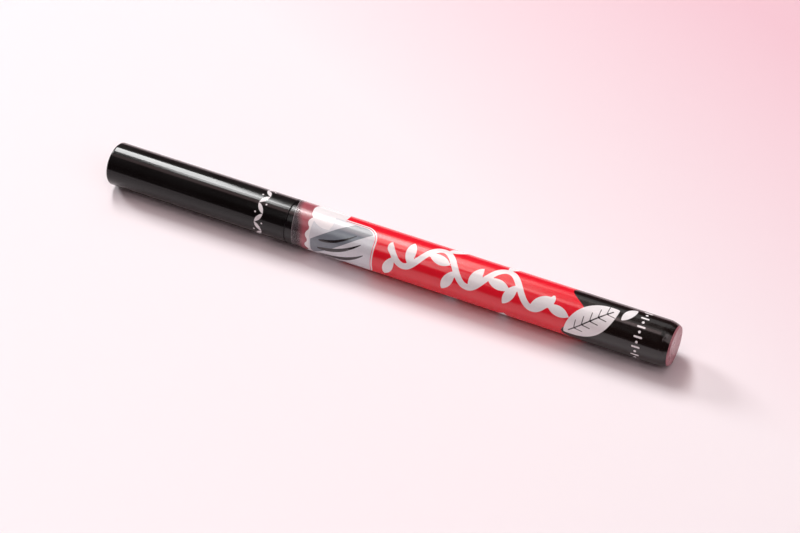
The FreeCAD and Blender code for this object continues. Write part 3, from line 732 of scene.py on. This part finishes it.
# %% White rim and vine
white = np.abs(card - 0.32) - 0.16
STEM = {"start": 72.0, "end": 110.4, "swing": 3.3, "length": 15.4}
STEM_LEVEL = 2.6
VINE_LEAVES, FIRST_LEAF, LEAF_STEP, LEAF_REACH = 11, 73.4, 3.6, 3.0
LEAF_TURN = math.radians(62)
for level in (STEM_LEVEL, STEM_LEVEL + GIRTH / 2):
    white = union(white, stem(u, w, level=level, width=1.4, **STEM))
    for k in range(VINE_LEAVES):
        station = FIRST_LEAF + LEAF_STEP * k
        phase = 2 * math.pi * (station - STEM["start"]) / STEM["length"]
        height = level + STEM["swing"] * math.sin(phase)
        run = math.atan(STEM["swing"] * 2 * math.pi / STEM["length"] * math.cos(phase))
        turn = run + LEAF_TURN * (-1) ** k
        centre = (station + LEAF_REACH * math.cos(turn), height + LEAF_REACH * math.sin(turn))
        white = union(white, leaf(u, w, centre, 5.4, 2.3, turn))
print("vine leaves on each side:", VINE_LEAVES)

# %% White leaves and beads
LABEL = (119.6, 4.6)
LABEL_TURN = math.atan2(-8.6, 10.2)
white = union(
    white,
    leaf(u, w, LABEL, 14.0, 6.6, LABEL_TURN),
    leaf(u, w, (127.2, 0.2), 4.8, 2.0, math.radians(-60)),
    leaf(u, w, (54.4, 0.2), 8.2, 5.2, math.radians(50)))
BEADS, BEADS_AT = 14, 130.6
for k in range(BEADS):
    white = union(
        white,
        vein(u, w, (BEADS_AT, GIRTH * k / BEADS), 1.5, 0.42, 0.0),
        dot(u, w, (BEADS_AT, GIRTH * (k + 0.5) / BEADS), 0.3))
keep_shape(film, "white_mm", white)
print("beads round the tail:", BEADS)

# %% Dark strokes and veins
dark = union(
    flick(u, w, (55.0, 10.8), (60.5, 10.8), (66.2, 6.6), 1.3),
    flick(u, w, (55.0, 8.4), (60.0, 8.3), (65.2, 4.4), 0.9),
    flick(u, w, (55.2, 6.2), (59.4, 6.1), (63.6, 2.8), 0.55),
    vein(u, w, LABEL, 11.0, 0.28, LABEL_TURN))
VEIN_STEP, VEIN_TURN = 2.0, math.radians(48)
for k in range(-2, 3):
    along = VEIN_STEP * k
    foot = (LABEL[0] + along * math.cos(LABEL_TURN), LABEL[1] + along * math.sin(LABEL_TURN))
    for side in (-1, 1):
        turn = LABEL_TURN + side * VEIN_TURN
        middle = (foot[0] + math.cos(turn), foot[1] + math.sin(turn))
        dark = union(dark, vein(u, w, middle, 1.9, 0.2, turn))
keep_shape(film, "dark_mm", dark)
print("print drawn on", len(u), "points")

# %% [markdown]
# ## The film's material
# The inks lie behind clear polyester, so all of them share one gloss and show only as colour. They are
# laid over each other in the order they are printed, together with a light grey line along the film's
# cut edge, which is a painted glint. Each layer is a mix whose factor is the stored distance compared
# with zero. The strip with no ink lets most light through and shows the black collar under it, and the
# rose ink fades in over the next stretch. A slow shallow waver keeps the reflections from being
# ruler-straight. The ink's real screen is finer, and is drawn coarser so that it shows.

# %% Inks
INKS = [
    ("rose_mm", "#a3525b", "#b4646e"),
    ("ground_mm", "#fcfafb", "#f4f1f3"),
    # Painted glint along the film's cut edge, not an ink.
    ("cut_glint_mm", "#b3abae", "#9d9598"),
    ("red_mm", "#f81c31", "#ee172d"),
    ("card_mm", "#e6e9ee", "#d8dce2"),
    ("slate_mm", "#87919a", "#7a848d"),
    ("black_mm", "#110a08", "#0c0705"),
    ("white_mm", "#fdfcfd", "#f6f4f6"),
    ("dark_mm", "#1b191c", "#262327"),
]
EDGE_MM = 0.035
FADE_MM = {"rose_mm": 0.8}
CLEAR_ALPHA = 0.3


def inked(tree, name):
    """Share of ink inside a shape: 1 within it and 0 outside.

    Its edge is soft by EDGE_MM each way, or by what FADE_MM gives for an ink that thins out.
    """
    soft = FADE_MM.get(name, EDGE_MM)
    shape = node(tree, "Attribute", attribute_name=name)
    return node(tree, "MapRange", {
        "Value": shape.outputs["Fac"], "From Min": -soft, "From Max": soft,
        "To Min": 1.0, "To Max": 0.0}).outputs["Result"]


# %% Printed polyester film
# Clear polyester over the inks: one even gloss, which wavers a little along the pen.
printed_polyester, tree, place = material("printed_polyester_shrink_film")
mottle = node(tree, "TexNoise", {"Vector": place, "Scale": per_mm(1.6), "Detail": 4.0})
screen = node(tree, "TexNoise", {"Vector": place, "Scale": per_mm(0.35), "Detail": 2.0})
colour = node(tree, "Mix", {
    FACTOR: mottle.outputs["Fac"], FIRST: linear("#6f666a"), SECOND: linear("#7a7074")},
    data_type="RGBA").outputs[MIXED]
for name, code, mottled in INKS:
    ink = node(tree, "Mix", {
        FACTOR: screen.outputs["Fac"], FIRST: linear(code), SECOND: linear(mottled)}, data_type="RGBA")
    colour = node(tree, "Mix", {
        FACTOR: inked(tree, name), FIRST: colour, SECOND: ink.outputs[MIXED]},
        data_type="RGBA").outputs[MIXED]
opaque = node(tree, "Math", {
    0: inked(tree, "rose_mm"), 1: inked(tree, "cut_glint_mm")}, operation="MAXIMUM")
cover = node(tree, "MapRange", {
    "Value": opaque.outputs["Value"], "To Min": CLEAR_ALPHA, "To Max": 1.0})
waver = node(tree, "Mapping", {"Vector": place, "Scale": (0.35, 1.0, 1.0)})
ripple = node(tree, "TexNoise", {
    "Vector": waver.outputs["Vector"], "Scale": per_mm(4.0), "Detail": 1.0})
bump = node(tree, "Bump", {"Height": ripple.outputs["Fac"], "Strength": 0.35, "Distance": 0.02 * MM})
shine = node(tree, "MapRange", {"Value": mottle.outputs["Fac"], "To Min": 0.10, "To Max": 0.2})
output(tree, Base_Color=colour, Roughness=shine.outputs["Result"], Alpha=cover.outputs["Result"],
       Normal=bump.outputs["Normal"], IOR=1.63)
dress(film, "shrink_sleeve", "barrel", printed_polyester)
print("inks on the film:", len(INKS))

# %% [markdown]
# ## Pieces that stay as CAD made them
# The wick, the collector and the mixing ball are inside the pen. Their solids are right as they are and
# only get their materials.

# %% Materials of the inner pieces
INNER_PIECES = {"feed_wick": bonded_polyester, "collector": natural_abs, "mixing_ball": ball_steel}
for name, finish in INNER_PIECES.items():
    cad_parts[name].data.materials.clear()
    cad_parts[name].data.materials.append(finish)
    print(name, "is", finish.name)

# %% [markdown]
# ## The floor
# The pen lies on a pale, faintly pink surface. One large square of laminate is enough for that, with a
# tint that drifts across it as it does in the photograph.

# %% Floor
FLOOR_HALF = 3.0
floor_mesh = bpy.data.meshes.new("floor")
floor_corners = FLOOR_HALF * np.array([(-1, -1, 0), (1, -1, 0), (1, 1, 0), (-1, 1, 0)])
floor_mesh.from_pydata(floor_corners.tolist(), [], [(0, 1, 2, 3)])
floor = bpy.data.objects.new("floor", floor_mesh)
bpy.context.scene.collection.objects.link(floor)
# Matt laminate: almost white, and pinker towards the far right.
pale_floor, tree, place = material("pale_laminate")
spread = node(tree, "SeparateXYZ", {"Vector": place})
far = node(tree, "Math", {
    0: spread.outputs["Y"], 1: 2.0, 2: spread.outputs["X"]}, operation="MULTIPLY_ADD")
blush = node(tree, "MapRange", {
    "Value": far.outputs["Value"], "From Min": 0.07, "From Max": 0.30})
tint = node(tree, "Mix", {
    FACTOR: blush.outputs["Result"], FIRST: linear("#f7f0f4"), SECOND: linear("#f0c8d4")},
    data_type="RGBA")
output(tree, Base_Color=tint.outputs[MIXED], Roughness=0.6)
floor_mesh.materials.append(pale_floor)
print("floor:", 2 * FLOOR_HALF, "m square")

# %% [markdown]
# ## The light
# On black gloss the light is seen as a shape, so each lamp is a panel with a place in the reflection. A
# window to the left, with a lower pane, makes the cap's highlight, thin at the crown and wider along the
# cap. A tall dim panel and a few smaller ones make the film's long bands. A second window, far to the
# left, draws the shadow beyond the tail. A broad fill from high on the right lights the near side and
# leaves the underside dark, down to the floor.

# %% Soft panels
PEN_MIDDLE = Vector((0, 0, AXIS_HEIGHT * MM))
LAMP_DISTANCE = 2.5


def soft_panel(name, lean, side, wide, tall, radiance, roll=0, tint="#ffffff"):
    """Area light that faces the pen, with a power of pi times area times radiance.

    lean is its angle from straight up towards the far side and side the angle from there to the right.
    wide and tall are the angles that it fills and roll turns it about its own middle, all in degrees.
    """
    lean, side, wide, tall, roll = (math.radians(angle) for angle in (lean, side, wide, tall, roll))
    away = Vector((math.sin(side), math.cos(side) * math.sin(lean), math.cos(side) * math.cos(lean)))
    along = Vector((math.cos(side), -math.sin(side) * math.sin(lean), -math.sin(side) * math.cos(lean)))
    across = away.cross(along)
    along = along * math.cos(roll) + across * math.sin(roll)
    lamp = bpy.data.lights.new(name, "AREA")
    lamp.color = linear(tint)[:3]
    lamp.shape = "RECTANGLE"
    lamp.size = 2 * LAMP_DISTANCE * math.tan(wide / 2)
    lamp.size_y = 2 * LAMP_DISTANCE * math.tan(tall / 2)
    lamp.energy = math.pi * lamp.size * lamp.size_y * radiance
    holder = bpy.data.objects.new(name, lamp)
    holder.location = PEN_MIDDLE + away * LAMP_DISTANCE
    holder.rotation_mode = "QUATERNION"
    holder.rotation_quaternion = Matrix((along, away.cross(along), away)).transposed().to_quaternion()
    bpy.context.scene.collection.objects.link(holder)
    print(f"{name}: {lamp.energy:.1f} W")


# %% Light
soft_panel("window", lean=29, side=-27.9, wide=9.2, tall=23, radiance=20.5, roll=8)
soft_panel("window_pane", lean=11.5, side=-24.2, wide=3.8, tall=13, radiance=13.5)
soft_panel("left_window", lean=28, side=-60, wide=14, tall=14, radiance=25.0)
soft_panel("tall_softbox", lean=18, side=-18.5, wide=6, tall=54, radiance=3.3, tint="#ffeadf")
soft_panel("front_softbox", lean=-36, side=-18.7, wide=3.6, tall=28, radiance=3.2)
soft_panel("overhead_softbox", lean=-3, side=3, wide=38, tall=26, radiance=0.5)
soft_panel("back_softbox", lean=46, side=3, wide=38, tall=26, radiance=0.6)
soft_panel("right_fill", lean=-17, side=38, wide=56, tall=40, radiance=1.15, tint="#ffeaec")
soft_panel("dim_softbox", lean=-7, side=-18.3, wide=20, tall=14, radiance=1.25, tint="#ffd7d9")
soft_panel("streak_softbox", lean=24, side=-19.4, wide=3.2, tall=22, radiance=6.0)

world = bpy.data.worlds.new("dim_pink_room")
bpy.context.scene.world = world
world.use_nodes = True
world.node_tree.nodes["Background"].inputs["Color"].default_value = linear("#ffc4c8")
world.node_tree.nodes["Background"].inputs["Strength"].default_value = 0.07

# %% [markdown]
# ## The camera
# The photograph looks down on a pen that lies aslant. A camera was fitted to the pen's outline there, and
# its direction, distance and focal length are used here, so that the two pictures lie over each other.
# A long lens from half a metre away keeps both ends of the pen nearly equally thick.

# %% Camera
AZIMUTH, ELEVATION = math.radians(25.8), math.radians(43.0)
DISTANCE = 486.6
FOCAL_LENGTH = 98.7
ON_AXIS, TO_THE_RIGHT, DOWN = 1.63, 2.19, 3.06
back = Vector((
    math.sin(AZIMUTH) * math.cos(ELEVATION),
    -math.cos(AZIMUTH) * math.cos(ELEVATION),
    math.sin(ELEVATION)))
right = Vector((math.cos(AZIMUTH), math.sin(AZIMUTH), 0))
up = back.cross(right)
aim = Vector((ON_AXIS, 0, AXIS_HEIGHT)) + right * TO_THE_RIGHT - up * DOWN
lens = bpy.data.cameras.new("camera")
lens.lens = FOCAL_LENGTH
lens.clip_start, lens.clip_end = 0.01, 20.0
camera = bpy.data.objects.new("camera", lens)
camera.location = (aim + back * DISTANCE) * MM
camera.rotation_mode = "QUATERNION"
camera.rotation_quaternion = back.to_track_quat("Z", "Y")
bpy.context.scene.collection.objects.link(camera)
bpy.context.scene.camera = camera
bpy.context.scene.view_settings.view_transform = "Standard"
print("camera:", DISTANCE, "mm away, focal length", FOCAL_LENGTH, "mm")
